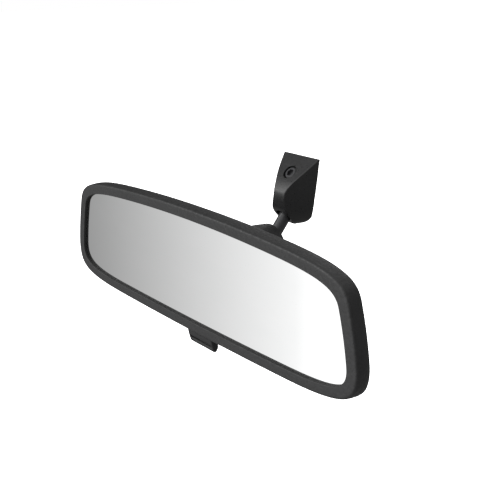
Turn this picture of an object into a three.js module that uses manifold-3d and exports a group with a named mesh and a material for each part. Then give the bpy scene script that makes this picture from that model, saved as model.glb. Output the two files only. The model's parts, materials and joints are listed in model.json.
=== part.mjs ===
// Interior rearview mirror: a prismatic day/night mirror head on a double-ball stem,
// hung from a wedge-shaped windscreen mount. Millimetres, +X across the mirror, +Y towards
// the windscreen, +Z up. The origin is on the mount's rear face, which meets the windscreen.
import * as THREE from "three";
import { mergeVertices } from "three/addons/utils/BufferGeometryUtils.js";
import Module from "manifold-3d";

const wasm = await Module();
wasm.setup();

// ---------------------------------------------------------------- driving dimensions
// Everything except the stem is set out from the centre of the glass opening, in the plane
// of the bezel's face: x across, depth towards the windscreen, height up.
const mountFaceDepth = 77.5;
const mountFaceHeight = 34.8;

// Glass opening: four crowned edges joined by long soft corners.
const opening = { topHalf: 109.2, bottomHalf: 119, halfHeight: 24.67 };
const crown = { top: 5.2, bottom: 1.8, side: 1.9 };
const cornerCut = { topRun: 41.3, topDrop: 10, bottomRise: 14.5, bottomRun: 45.8 };
const cornerTension = 0.81;

// The frame round the opening is this wide at the top and bottom, and wider at its ends
// and corners.
const frameWidth = 6.1;
const endWidening = 0.7;
const cornerWidening = 0.8;

// Bezel and rear case
const lipDepth = 1.6;
const partingDepth = 8;
const partingGap = 0.3;
const caseDepth = 38;
const wall = 2;
const caseCentreHeight = 1.7;
const domeShoulder = { shrink: 0.9, depth: 16.5 };
const domeBack = { shrink: 0.56, depth: 36 };
const domeSteps = [0, 0.1, 0.22, 0.35, 0.48, 0.62, 0.78, 0.94];
const caseMargin = { outer: 5.6, spigot: 4.3, inner: 2.8 };
const spigotDepth = 6.2;

// Mirror glass: a wedge, thick edge at the top
const glassOverlap = 2.2;
const glassThin = 2.6;
const glassThick = 5.4;
const filmThickness = 0.45;
const layerGap = 0.1;
const filmInset = 1.6;
const pad = { centre: 62, halfLength: 17, halfHeight: 8, thickness: 2.5 };

// Turret: the upright oval collar on the back of the case that the stem comes out of
const turret = { mouthDepth: 55.5, topCentre: 5.3, bottomCentre: -6.5, wall: 1.8 };
const turretFlare = [[20, 17.4], [30, 16], [36, 14.9], [42, 13.8], [48, 13.1], [53, 12.65]];
const turretMouth = { outer: 11.6, inner: 11.4, ease: 0.7 };

// Lugs inside the case, each [distance off centre, half thickness, low corner, high corner]
// with corners as [depth, height]
const tiltLug = [28.5, 1.5, [15.6, 17.6], [22.4, 36]];
const leverLug = [13.2, 1.3, [8.6, -36], [14.2, -24]];
const innerRib = [54, 0.9, [10.5, -9], [36, 11]];
const outerRib = [70, 0.9, [10.5, -9], [36, 11]];

// Double-ball stem; it swings up to this many degrees either way in the mount
const lowerBallAt = { depth: 48, height: -0.3, radius: 5.5 };
const upperBallAt = { depth: 70.6, height: 26.75, radius: 4.8 };
const socketPlate = { radius: 6.4, thickness: 0.6, recess: 0.8, bore: 6.3 };
const stemRadius = 3.5;
const spigotRadius = 2.2;
const swing = 13;

// Day/night mechanism
const tiltPivot = { depth: 19, height: 21 };
const tiltPin = { inner: 21.6, outer: 30.4, radius: 1.5, hole: 1.6 };
const leverPivot = { depth: 11, height: -27.2 };
const leverPin = { half: 14.2, radius: 1.25, hole: 1.35 };
const lever = { half: 11.2, hub: 2.6, crank: 4.6, crankLean: 19, peg: 1.3, pegHalf: 4, arm: 0.8 };
const tabGrooves = [[5.7, -34.2], [6.7, -38.1]];
const slotHalfWidth = 11.5;
const slotFront = 3.9;
const slotBack = 14.8;
const carrier = { front: 27.6, back: 29.4, earMiddle: 24.2, earHalf: 1.8, forkGap: 1.45, legHalf: 5 };
const rivet = { offset: 12, shank: 1.5, head: 2.6, hole: 1.6 };

// Windscreen button pocket and its set screw
const pocket = { halfWidth: 9, bottom: 36.5, top: 47.5, depth: 3.6 };
const screwAt = { depth: 68.6, height: 44.87 };
const screwTilt = THREE.MathUtils.degToRad(44);
const screwRecess = { radius: 4.3, depth: 2.2 };
const screw = { top: 0.3, head: 2.05, tip: 4.2, radius: 3.4, shank: 2.5, hole: 2.65, key: 2.2 };

// ---------------------------------------------------------------- materials
function finish(hex, roughness, metalness = 0) {
  return new THREE.MeshStandardMaterial({ color: hex, roughness, metalness });
}
const grainedPlastic = finish(0x2b2b2b, 0.6);
const paintedCasting = finish(0x2a2a2b, 0.5);
const blackedSteel = finish(0x303032, 0.35, 0.8);
const springSteel = finish(0x8b8d90, 0.35, 1);
const zincSteel = finish(0xa9abad, 0.4, 1);
const acetal = finish(0xd9d6cc, 0.45);
const silvered = finish(0xdfe3e6, 0.03, 1);
const foam = finish(0x3a3a3a, 0.95);
const filmFinish = finish(0x4b4f52, 0.7);
const nylon = finish(0x202020, 0.65);

// ---------------------------------------------------------------- solids
const vec = (x, y, z) => new THREE.Vector3(x, y, z);
const vec2 = (x, y) => new THREE.Vector2(x, y);

/** A closed triangle mesh as a solid, its faces turned outwards. */
function solid(geometry) {
  const bare = new THREE.BufferGeometry();
  bare.setAttribute("position", geometry.getAttribute("position"));
  bare.setIndex(geometry.index);
  const merged = mergeVertices(bare, 1e-4);
  const corners = [];
  const index = merged.index.array;
  for (let i = 0; i < index.length; i += 3) {
    const [a, b, c] = index.slice(i, i + 3);
    if (a !== b && b !== c && c !== a) corners.push(a, b, c);
  }
  const vertProperties = merged.attributes.position.array;
  const build = (list) =>
    new wasm.Manifold(
      new wasm.Mesh({ numProp: 3, vertProperties, triVerts: new Uint32Array(list) }),
    );
  const made = build(corners);
  return made.volume() > 0 ? made : build(corners.reverse());
}

/** A solid's surface as a flat-shaded three.js geometry. */
function surface(body) {
  const mesh = body.getMesh();
  const position = new Float32Array(mesh.numVert * 3);
  for (let i = 0; i < mesh.numVert; i++) {
    const from = i * mesh.numProp;
    position.set(mesh.vertProperties.subarray(from, from + 3), i * 3);
  }
  const geometry = new THREE.BufferGeometry();
  geometry.setAttribute("position", new THREE.BufferAttribute(position, 3));
  geometry.setIndex(new THREE.BufferAttribute(new Uint32Array(mesh.triVerts), 1));
  const flat = geometry.toNonIndexed();
  flat.computeVertexNormals();
  return flat;
}

const joined = (first, ...others) => others.reduce((sum, next) => sum.add(next), first);
const cut = (body, ...tools) => tools.reduce((left, tool) => left.subtract(tool), body);

/** Skin through rings of equally many points; the two end rings are closed flat. */
function loft(rings) {
  const count = rings[0].length;
  const points = rings.flat();
  const faces = [];
  for (let r = 0; r + 1 < rings.length; r++) {
    for (let i = 0; i < count; i++) {
      const a = r * count + i;
      const b = r * count + ((i + 1) % count);
      faces.push(a, b, b + count, a, b + count, a + count);
    }
  }
  for (const [start, turned] of [[0, true], [(rings.length - 1) * count, false]]) {
    const centre = points.length;
    const middle = vec(0, 0, 0);
    for (let i = 0; i < count; i++) middle.addScaledVector(points[start + i], 1 / count);
    points.push(middle);
    for (let i = 0; i < count; i++) {
      const a = start + i;
      const b = start + ((i + 1) % count);
      faces.push(...(turned ? [b, a, centre] : [a, b, centre]));
    }
  }
  return solid(new THREE.BufferGeometry().setFromPoints(points).setIndex(faces));
}

/** A closed section carried round the glass opening: each ring joins the next and the first. */
function band(rings) {
  const count = rings[0].length;
  const faces = [];
  rings.forEach((ring, r) => {
    const next = (r + 1) % rings.length;
    for (let i = 0; i < count; i++) {
      const j = (i + 1) % count;
      const a = r * count + i;
      const b = r * count + j;
      faces.push(a, b, next * count + j, a, next * count + j, next * count + i);
    }
  });
  return solid(new THREE.BufferGeometry().setFromPoints(rings.flat()).setIndex(faces));
}

/** A side outline of [depth, height] corners, carried across from x = low to x = high. */
function prism(outline, low, high) {
  const shape = new THREE.Shape(outline.map(([depth, height]) => vec2(depth, height)));
  const geometry = new THREE.ExtrudeGeometry(shape, { depth: high - low, bevelEnabled: false });
  geometry.applyMatrix4(new THREE.Matrix4().makeBasis(vec(0, 1, 0), vec(0, 0, 1), vec(1, 0, 0)));
  return solid(geometry.translate(low, 0, 0));
}

/** A block between two opposite corners. */
function block(low, high) {
  const size = high.map((value, i) => value - low[i]);
  const middle = high.map((value, i) => (value + low[i]) / 2);
  return solid(new THREE.BoxGeometry(...size).translate(...middle));
}

/** A round bar between two points. */
function bar(from, to, radius, sides = 20) {
  const length = from.distanceTo(to);
  const geometry = new THREE.CylinderGeometry(radius, radius, length, sides);
  const turn = new THREE.Quaternion().setFromUnitVectors(
    vec(0, 1, 0),
    to.clone().sub(from).normalize(),
  );
  const centre = from.clone().lerp(to, 0.5);
  geometry.applyMatrix4(new THREE.Matrix4().compose(centre, turn, vec(1, 1, 1)));
  return solid(geometry);
}

/** A round bar across the mirror, through a pivot given by its depth and height. */
function acrossBar(pivot, low, high, radius, sides = 20) {
  return bar(vec(low, pivot.depth, pivot.height), vec(high, pivot.depth, pivot.height), radius, sides);
}

/** A turned piece: a closed profile of [radius, height] points spun about the Y axis. */
function turned(profile, sides = 24) {
  const points = profile.map(([radius, height]) => vec2(radius, height));
  if (profile[0][0] > 0) points.push(points[0].clone());
  return solid(new THREE.LatheGeometry(points, sides));
}

/** Points on a circle about the axis, from one angle off the axis to another, in degrees. */
function arc(radius, from, to, steps) {
  return Array.from({ length: steps + 1 }, (_, i) => {
    const angle = THREE.MathUtils.degToRad(from + ((to - from) * i) / steps);
    return [radius * Math.sin(angle), radius * Math.cos(angle)];
  });
}

// ---------------------------------------------------------------- outline of the mirror
const edgeSteps = { top: 10, side: 4, bottom: 8 };
const cornerSteps = 6;

/** One crowned edge as a parabola, and how far along it the corners begin. */
function crownedEdge(from, to, rise, cutFrom, cutTo, steps) {
  const along = to.clone().sub(from);
  const length = along.length();
  const outward = vec2(-along.y, along.x).normalize();
  const control = from.clone().lerp(to, 0.5).addScaledVector(outward, 2 * rise);
  const curve = new THREE.QuadraticBezierCurve(from, control, to);
  return { curve, start: cutFrom / length, end: 1 - cutTo / length, cutFrom, cutTo, steps };
}

/** The glass opening as a ring of points in (x, height), clockwise seen from the driver. */
function openingOutline() {
  const { topHalf, bottomHalf, halfHeight } = opening;
  const topLeft = vec2(-topHalf, halfHeight);
  const topRight = vec2(topHalf, halfHeight);
  const bottomRight = vec2(bottomHalf, -halfHeight);
  const bottomLeft = vec2(-bottomHalf, -halfHeight);
  const { topRun, topDrop, bottomRise, bottomRun } = cornerCut;
  const edges = [
    crownedEdge(topLeft, topRight, crown.top, topRun, topRun, edgeSteps.top),
    crownedEdge(topRight, bottomRight, crown.side, topDrop, bottomRise, edgeSteps.side),
    crownedEdge(bottomRight, bottomLeft, crown.bottom, bottomRun, bottomRun, edgeSteps.bottom),
    crownedEdge(bottomLeft, topLeft, crown.side, bottomRise, topDrop, edgeSteps.side),
  ];
  const points = [];
  edges.forEach((edge, i) => {
    const next = edges[(i + 1) % edges.length];
    for (let k = 0; k < edge.steps; k++) {
      points.push(edge.curve.getPoint(edge.start + ((edge.end - edge.start) * k) / edge.steps));
    }
    const from = edge.curve.getPoint(edge.end);
    const to = next.curve.getPoint(next.start);
    const corner = new THREE.CubicBezierCurve(
      from,
      from.clone().addScaledVector(edge.curve.getTangent(edge.end), edge.cutTo * cornerTension),
      to.clone().addScaledVector(next.curve.getTangent(next.start), -next.cutFrom * cornerTension),
      to,
    );
    for (let k = 0; k < cornerSteps; k++) points.push(corner.getPoint(k / cornerSteps));
  });
  return points;
}

const outline = openingOutline();
const outwards = outline.map((_, i) => {
  const before = outline[(i + outline.length - 1) % outline.length];
  const after = outline[(i + 1) % outline.length];
  const along = after.clone().sub(before).normalize();
  return vec2(-along.y, along.x);
});

/** How much further than a plain margin the outline goes where it faces a given way. */
function widening(outward) {
  const across = Math.abs(outward.x);
  const upright = Math.abs(outward.y);
  const extra = endWidening * across + cornerWidening * (2 * across * upright) ** 2;
  return 1 + extra / frameWidth;
}

/** The opening's outline grown by a margin, at a depth that may depend on height. */
function outlineRing(margin, depth) {
  const depthAt = typeof depth === "function" ? depth : () => depth;
  return outline.map((point, i) => {
    const p = point.clone().addScaledVector(outwards[i], margin * widening(outwards[i]));
    return vec(p.x, depthAt(p.y), p.y);
  });
}

// ---------------------------------------------------------------- front bezel
const slotTool = () =>
  block([-slotHalfWidth, slotFront, -40], [slotHalfWidth, slotBack, -25.5]);

function frontBezel() {
  const section = [
    [0, lipDepth],
    [0, 0.4],
    [0.4, 0],
    [4.6, 0.1],
    [5.3, 0.4],
    [5.7, 0.9],
    [5.83, 1.8],
    [frameWidth, 5],
    [5.95, 7.3],
    [5.65, partingDepth],
    [4.6, partingDepth],
    [4.6, 6],
    [2.5, 6],
    [2.5, lipDepth],
  ];
  const ring = band(section.map(([margin, depth]) => outlineRing(margin, depth)));
  return cut(ring, slotTool());
}

// ---------------------------------------------------------------- glass and what backs it
const topOfGlass = opening.halfHeight + crown.top + glassOverlap;
const bottomOfGlass = -opening.halfHeight - crown.bottom - glassOverlap;

/** Depth of the glass's silvered back at a height: the two faces are 2.7 degrees apart. */
function glassBack(height) {
  const share = (height - bottomOfGlass) / (topOfGlass - bottomOfGlass);
  return lipDepth + layerGap + glassThin + (glassThick - glassThin) * share;
}

const mirrorGlass = () =>
  loft([outlineRing(glassOverlap, lipDepth + layerGap), outlineRing(glassOverlap, glassBack)]);

function backingFilm() {
  const front = (height) => glassBack(height) + layerGap;
  const back = (height) => front(height) + filmThickness;
  return loft([outlineRing(filmInset, front), outlineRing(filmInset, back)]);
}

function foamPad(side) {
  const front = (height) => glassBack(height) + 2 * layerGap + filmThickness;
  const { centre, halfLength, halfHeight, thickness } = pad;
  const corners = [
    [-halfLength, -halfHeight],
    [halfLength, -halfHeight],
    [halfLength, halfHeight],
    [-halfLength, halfHeight],
  ];
  const ring = (extra) =>
    corners.map(([x, height]) => vec(side * centre + x, front(height) + extra, height));
  return loft([ring(0), ring(thickness)]);
}

// ---------------------------------------------------------------- rear case
/** Rings of a dome that shrinks towards the middle of the case as it gets deeper. */
function domeRings(margin, startDepth, inset) {
  const curve = new THREE.CubicBezierCurve(
    vec2(1, startDepth),
    vec2(domeShoulder.shrink, domeShoulder.depth - inset),
    vec2(domeBack.shrink, domeBack.depth - inset),
    vec2(0, caseDepth - inset),
  );
  const centre = vec(0, 0, caseCentreHeight);
  return domeSteps.map((step) => {
    const { x: shrink, y: depth } = curve.getPoint(step);
    return outlineRing(margin, 0).map((point) => {
      const p = point.sub(centre).multiplyScalar(shrink).add(centre);
      return vec(p.x, depth, p.z);
    });
  });
}

/** Upright oval: half circles of one radius about the turret's two centres. */
function ovalRing(radius, depth) {
  const steps = 12;
  const ring = [];
  for (const [centre, start] of [[turret.topCentre, -90], [turret.bottomCentre, 90]]) {
    for (let i = 0; i <= steps; i++) {
      const angle = THREE.MathUtils.degToRad(start + (180 * i) / steps);
      ring.push(vec(radius * Math.sin(angle), depth, centre + radius * Math.cos(angle)));
    }
  }
  return ring;
}

/** The turret's skin moved in by an inset, ending at a given depth with an eased rim. */
function turretBody(inset, endDepth, mouthRadius) {
  const rings = turretFlare.map(([depth, radius]) => ovalRing(radius - inset, depth));
  const { ease } = turretMouth;
  rings.push(ovalRing(mouthRadius + ease, endDepth - ease));
  rings.push(ovalRing(mouthRadius, endDepth));
  return loft(rings);
}

/** A pair of upright walls inside the case, left and right. */
function wallPair([distance, half, low, high]) {
  return [-1, 1].map((side) =>
    block([side * distance - half, ...low], [side * distance + half, ...high]),
  );
}

function rearCase() {
  const rim = partingDepth + partingGap;
  const { outer: outside, spigot, inner: inside } = caseMargin;
  const spigotRings = [outlineRing(spigot, spigotDepth), outlineRing(spigot, rim)];
  const outer = joined(
    loft([...spigotRings, ...domeRings(outside, rim, 0)]),
    turretBody(0, turret.mouthDepth, turretMouth.outer),
  );
  const inner = joined(
    loft([outlineRing(inside, spigotDepth - 1), ...domeRings(inside, rim, wall)]),
    turretBody(turret.wall, turret.mouthDepth + 1, turretMouth.inner),
  );
  const walls = [tiltLug, leverLug, innerRib, outerRib].flatMap(wallPair);
  return cut(
    joined(outer.subtract(inner), ...walls.map((made) => made.intersect(outer))),
    slotTool(),
    acrossBar(tiltPivot, -40, 40, tiltPin.hole),
    acrossBar(leverPivot, -16, 16, leverPin.hole),
  );
}

// ---------------------------------------------------------------- day/night lever
function turnedPoint(pivot, radius, degrees) {
  const angle = THREE.MathUtils.degToRad(degrees);
  return [pivot.depth + radius * Math.sin(angle), pivot.height + radius * Math.cos(angle)];
}
const crankEnd = turnedPoint(leverPivot, lever.crank, lever.crankLean);

function dayNightLever() {
  const tab = [
    [6.2, -27.4],
    [4.2, -30.8],
    [4.3, -33.9],
    [5.1, -37.6],
    [6.2, -41.5],
    [7, -42.7],
    [8.3, -42.6],
    [9.6, -40.8],
    [9.7, -38.5],
    [8.9, -34],
    [10.2, -29.4],
  ];
  const { half, hub, peg, pegHalf, arm } = lever;
  const root = vec(0, leverPivot.depth, leverPivot.height);
  const end = vec(0, ...crankEnd);
  const lean = end.clone().sub(root).normalize();
  const flank = vec(0, lean.z, -lean.y).multiplyScalar(arm);
  const armSide = [
    root.clone().add(flank),
    end.clone().add(flank),
    end.clone().sub(flank),
    root.clone().sub(flank),
  ].map((p) => [p.y, p.z]);
  const body = joined(
    acrossBar(leverPivot, -half, half, hub),
    prism(tab, -half, half),
    prism(armSide, -pegHalf, pegHalf),
    bar(vec(-pegHalf, ...crankEnd), vec(pegHalf, ...crankEnd), peg),
  );
  const grooves = tabGrooves.map(([depth, top]) =>
    block([1.4 - half, 3, top - 0.8], [half - 1.4, depth, top]),
  );
  return cut(body, ...grooves, acrossBar(leverPivot, -half - 1, half + 1, leverPin.hole));
}

const leverPinBody = () => acrossBar(leverPivot, -leverPin.half, leverPin.half, leverPin.radius);

function tiltPinBody(side) {
  const [low, high] = [side * tiltPin.inner, side * tiltPin.outer].sort((a, b) => a - b);
  return acrossBar(tiltPivot, low, high, tiltPin.radius);
}

/** Leaf spring on the case floor, its tip behind the carrier's fork. */
function toggleSpring() {
  const leaf = [
    [15.9, -20.4],
    [16.5, -20.4],
    [17.4, -23],
    [20, -21.3],
    [20.4, -21.7],
    [17.2, -23.8],
    [16.7, -23.6],
  ];
  return prism(leaf, -3.5, 3.5);
}

// ---------------------------------------------------------------- carrier in the case
function carrierPlate() {
  const { front, back, earMiddle, earHalf, forkGap, legHalf } = carrier;
  const plate = block([-26, front, -11], [26, back, 14]);
  const earSide = [
    [back, 4],
    [back, 14],
    [22, 22.5],
    [20, 24.2],
    [17.4, 24.2],
    [15.8, 22.4],
    [15.8, 19.4],
    [17.4, 17.8],
  ];
  const ears = [-1, 1].map((side) =>
    prism(earSide, side * earMiddle - earHalf, side * earMiddle + earHalf),
  );
  const [forkDepth] = crankEnd;
  const legSide = [
    [back, -8],
    [back, -12.5],
    [forkDepth + 3.1, -18.8],
    [forkDepth + 3.1, -23.9],
    [forkDepth + forkGap, -23.9],
    [forkDepth + forkGap, -20.6],
    [forkDepth - forkGap, -20.6],
    [forkDepth - forkGap, -23.9],
    [forkDepth - 3, -23.9],
    [forkDepth - 3, -17.8],
    [front, -8],
  ];
  return cut(
    joined(plate, ...ears, prism(legSide, -legHalf, legHalf)),
    acrossBar(tiltPivot, -30, 30, tiltPin.hole),
    ...rivetHoles(),
  );
}

const rivetHoles = () =>
  [-1, 1].map((side) =>
    bar(vec(side * rivet.offset, 20, 0), vec(side * rivet.offset, 40, 0), rivet.hole, 16),
  );

/** Rivet through the carrier plate and the socket housing's flange. */
function carrierRivet(side) {
  const piece = (from, to, radius) =>
    bar(vec(side * rivet.offset, from, 0), vec(side * rivet.offset, to, 0), radius, 16);
  const { shank, head } = rivet;
  return joined(piece(27.3, 32.2, shank), piece(26.2, 27.4, head), piece(32.1, 33.2, head));
}

// Along the stem, heights are counted from the lower ball's centre.
const rise = upperBallAt.height - lowerBallAt.height;
const reach = upperBallAt.depth - lowerBallAt.depth;
const ballSpacing = Math.hypot(rise, reach);
const stemTilt = Math.atan2(rise, reach);

/** Moves a solid made along the stem, lower ball centre at 0, into the mirror's own frame. */
function alongStem(body) {
  const geometry = surface(body);
  geometry.rotateX(stemTilt).translate(0, lowerBallAt.depth, lowerBallAt.height);
  return solid(geometry);
}

const socketOuter = 7.6;
const socketBore = 6.6;
const socketFloor = -11.4;
const socketEnd = -12.9;

function socketHousing() {
  const tube = turned([[0, socketEnd], [socketOuter, socketEnd], [socketOuter, -0.1], [0, -0.1]], 28);
  const bore = turned([[0, socketFloor], [socketBore, socketFloor], [socketBore, 1], [0, 1]], 28);
  const foot = prism([[29.6, -11], [29.6, 9], [41.4, 3.6], [45, -14.2]], -5.5, 5.5);
  const flange = block([-16, 29.6, -8.5], [16, 31.8, 9]);
  return cut(joined(foot, flange, alongStem(tube)), alongStem(bore), ...rivetHoles());
}

/** Screwed ring whose spherical lip keeps the ball in its housing. */
function socketRing() {
  const clearance = lowerBallAt.radius + 0.1;
  const lip = arc(clearance, 90, 62, 5);
  return turned([...lip, [5.9, 3.8], [6.4, 3.8], [socketOuter, 2.6], [socketOuter, 0]], 28);
}

/** A ball bored for the stem's spigot, with a flat seat for the stem's shoulder. */
function ballOf(radius, boreDepth, seat) {
  const rim = stemRadius + 0.15;
  const bore = spigotRadius + 0.1;
  const rimAngle = THREE.MathUtils.radToDeg(Math.asin(rim / radius));
  return turned([
    [0, -radius],
    ...arc(radius, 170, rimAngle, 12),
    [rim, seat],
    [bore, seat],
    [bore, boreDepth],
    [0, boreDepth],
  ]);
}
const lowerSeat = 3.9;
const upperSeat = 3;
const lowerBall = () => ballOf(lowerBallAt.radius, -2, lowerSeat);
const upperBall = () => ballOf(upperBallAt.radius, -1.2, upperSeat);

function stemRod() {
  const low = lowerSeat + 0.1;
  const high = ballSpacing - upperSeat - 0.1;
  return turned([
    [0, -1.9],
    [spigotRadius, -1.9],
    [spigotRadius, low],
    [stemRadius, low],
    [stemRadius, high],
    [spigotRadius, high],
    [spigotRadius, ballSpacing + 1.1],
    [0, ballSpacing + 1.1],
  ]);
}

/** Cap-shaped shell concentric with a ball, its rim a given angle off the Y axis. */
function ballShell(inner, outer, rimAngle) {
  return turned([...arc(inner, 0, rimAngle, 7), ...arc(outer, rimAngle, 0, 7)]);
}

function coilSpring(meanRadius, wire, from, to, turns) {
  class Helix extends THREE.Curve {
    getPoint(t) {
      const angle = 2 * Math.PI * turns * t;
      return vec(meanRadius * Math.cos(angle), from + (to - from) * t, meanRadius * Math.sin(angle));
    }
  }
  const section = new THREE.Shape();
  section.absarc(0, 0, wire, 0, 2 * Math.PI);
  const settings = {
    steps: 14 * turns,
    curveSegments: 6,
    extrudePath: new Helix(),
    bevelEnabled: false,
  };
  return solid(new THREE.ExtrudeGeometry(section, settings));
}

// ---------------------------------------------------------------- windscreen mount
// Levels of the wedge: height, front depth and half width, back depth and half width
const mountLevels = [
  [15.5, 69.8, 2.6, 73, 3.3],
  [15.75, 68.8, 3.8, 74.6, 4.9],
  [16.5, 67.6, 5, 75.9, 6.5],
  [17.8, 66.2, 5.8, 76.9, 7.9],
  [19.6, 64.6, 6.2, mountFaceDepth, 9],
  [22.2, 62.4, 6.4, mountFaceDepth, 9.8],
  [24.8, 60.8, 6, mountFaceDepth, 10.4],
  [27, 60.2, 5.4, mountFaceDepth, 10.85],
  [29.5, 60.1, 4.9, mountFaceDepth, 11.2],
  [32, 60.3, 4.65, mountFaceDepth, 11.7],
  [34, 60.65, 4.7, mountFaceDepth, 12.1],
  [35.5, 61.15, 5, mountFaceDepth, 12.35],
  [37, 61.95, 5.5, mountFaceDepth, 12.6],
  [39, 63.3, 6.4, mountFaceDepth, 12.9],
  [41, 64.9, 7.6, mountFaceDepth, 13.25],
  [44, 67.7, 9.6, mountFaceDepth, 13.75],
  [48, 71.75, 12, mountFaceDepth, 14.3],
  [52.3, 76.15, 14.1, mountFaceDepth, 14.95],
  [53, 76.85, 13.7, mountFaceDepth, 14.5],
];
const mountEase = 0.7;

/** One level of the wedge: a flat front, flanks that spread to the back, and eased corners. */
function mountRing([height, front, frontHalf, back, backHalf]) {
  const ease = Math.min(mountEase, (back - front) / 4);
  const slope = (backHalf - frontHalf) / Math.max(back - front, 0.1);
  const half = [
    [0, front],
    [frontHalf - ease, front],
    [frontHalf - 0.25 * ease, front + 0.3 * ease],
    [frontHalf + slope * ease, front + ease],
    [backHalf - slope * 0.4 * ease, back - 0.4 * ease],
    [backHalf - 0.5 * ease, back],
    [0, back],
  ];
  const mirrored = half.slice(1, -1).reverse().map(([x, y]) => [-x, y]);
  return [...half, ...mirrored].map(([x, y]) => vec(x, y, height));
}

const upperBallCentre = vec(0, upperBallAt.depth, upperBallAt.height);
const beyondFace = mountFaceDepth + 2.5;

/** A bore along the mount's depth, from the given depth out through its rear face. */
function rearBore(depth, radius) {
  const { height } = upperBallAt;
  return bar(vec(0, depth, height), vec(0, beyondFace, height), radius, 28);
}

/** Cone that lets the stem swing in the mount. */
function stemMouth() {
  const coneAt = (below) => {
    const spread = Math.tan(THREE.MathUtils.degToRad(swing)) * below;
    return [stemRadius + 0.1 + spread, ballSpacing - below];
  };
  const wide = coneAt(14);
  const narrow = coneAt(2.2);
  return alongStem(turned([[0, wide[1]], wide, narrow, [0, narrow[1]]], 28));
}

function mountBracket() {
  const { halfWidth, bottom, top, depth } = pocket;
  const seat = new THREE.SphereGeometry(upperBallAt.radius + 0.1, 28, 18);
  return cut(
    loft(mountLevels.map(mountRing)),
    block([-halfWidth, mountFaceDepth - depth, bottom], [halfWidth, beyondFace, top]),
    solid(seat.translate(...upperBallCentre)),
    rearBore(upperBallAt.depth, socketPlate.bore),
    rearBore(mountFaceDepth - socketPlate.recess, socketPlate.radius + 0.1),
    stemMouth(),
    screwHole(),
  );
}

/** Point on the set screw's axis, a distance in from the mount's sloping face. */
function onScrewAxis(inwards) {
  return vec(
    0,
    screwAt.depth + inwards * Math.cos(screwTilt),
    screwAt.height - inwards * Math.sin(screwTilt),
  );
}

const alongScrew = (from, to, radius, sides = 24) =>
  bar(onScrewAxis(from), onScrewAxis(to), radius, sides);

function screwHole() {
  const { radius, depth } = screwRecess;
  return joined(alongScrew(-4, depth, radius), alongScrew(depth - 0.1, 9, screw.hole));
}

function setScrew() {
  const head = alongScrew(screw.top, screw.head, screw.radius);
  const shank = alongScrew(screw.head - 0.1, screw.tip, screw.shank);
  const socket = alongScrew(-1, screw.head, screw.key, 6);
  return cut(joined(head, shank), socket);
}

/** A piece turned about the mount's own front-to-back axis through the upper ball. */
const behindUpperBall = (profile) => turned(profile, 28).translate(...upperBallCentre);

function backPlate() {
  const back = mountFaceDepth - upperBallAt.depth;
  const front = back - socketPlate.thickness;
  const { radius } = socketPlate;
  return behindUpperBall([[0, front], [radius, front], [radius, back], [0, back]]);
}

const springWasher = () =>
  behindUpperBall([[3.2, 5.45], [3.2, 5.9], [5.6, 4.6], [5.6, 4.1]]);

// ---------------------------------------------------------------- assembly
const mirrorFrame = new THREE.Group();
mirrorFrame.position.set(0, -mountFaceDepth, -mountFaceHeight);

const stemFrame = new THREE.Group();
stemFrame.position.set(0, lowerBallAt.depth, lowerBallAt.height);
stemFrame.rotation.x = stemTilt;
mirrorFrame.add(stemFrame);

function place(name, body, material, group = mirrorFrame, height = 0) {
  const mesh = new THREE.Mesh(surface(body), material);
  mesh.name = name;
  mesh.position.y = height;
  group.add(mesh);
}

place("mount_bracket", mountBracket(), paintedCasting);
place("mount_set_screw", setScrew(), blackedSteel);
place("socket_back_plate", backPlate(), zincSteel);
place("upper_spring_washer", springWasher(), springSteel);
const overBall = (body) => body.translate(...upperBallCentre);
place("upper_seat_cup", overBall(ballShell(5.45, 6, 60)), springSteel);
place("upper_ball_liner", overBall(ballShell(4.9, 5.35, 60)), acetal);

const upended = (body) => solid(surface(body).rotateX(Math.PI));
place("upper_ball", upended(upperBall()), zincSteel, stemFrame, ballSpacing);
place("stem_rod", stemRod(), blackedSteel, stemFrame);
place("lower_ball", lowerBall(), zincSteel, stemFrame);
place("lower_ball_liner", upended(ballShell(5.58, 5.95, 66)), acetal, stemFrame);
place("lower_seat_cup", upended(ballShell(6.05, 6.5, 70)), springSteel, stemFrame);
place("lower_ball_spring", coilSpring(4.6, 0.5, -5.5, -10.8, 3), springSteel, stemFrame);
place("socket_ring", socketRing(), zincSteel, stemFrame);
place("socket_housing", socketHousing(), nylon);
place("carrier_plate", carrierPlate(), nylon);

place("front_bezel", frontBezel(), grainedPlastic);
place("mirror_glass", mirrorGlass(), silvered);
place("backing_film", backingFilm(), filmFinish);
place("rear_case", rearCase(), grainedPlastic);
place("day_night_lever", dayNightLever(), grainedPlastic);
place("lever_pin", leverPinBody(), zincSteel);
place("toggle_spring", toggleSpring(), springSteel);
for (const [label, side] of [["left", -1], ["right", 1]]) {
  place(`tilt_pin_${label}`, tiltPinBody(side), zincSteel);
  place(`carrier_rivet_${label}`, carrierRivet(side), zincSteel);
  place(`foam_pad_${label}`, foamPad(side), foam);
}

const mirror = new THREE.Group();
mirror.add(mirrorFrame);
export default mirror;
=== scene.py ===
"""Looks of the interior rearview mirror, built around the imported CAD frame.

Shapes are set out in millimetres in the mirror's own frame, (x, depth, height): x across the
glass, depth from the bezel's face towards the windscreen, height up from the middle of the
glass. place() puts such points in the row frame, in metres. Turned pieces are set out along
an axis that the record's joints give.
"""

import json
import math

import bmesh
import bpy
import numpy as np
from mathutils import Matrix, Vector


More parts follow.
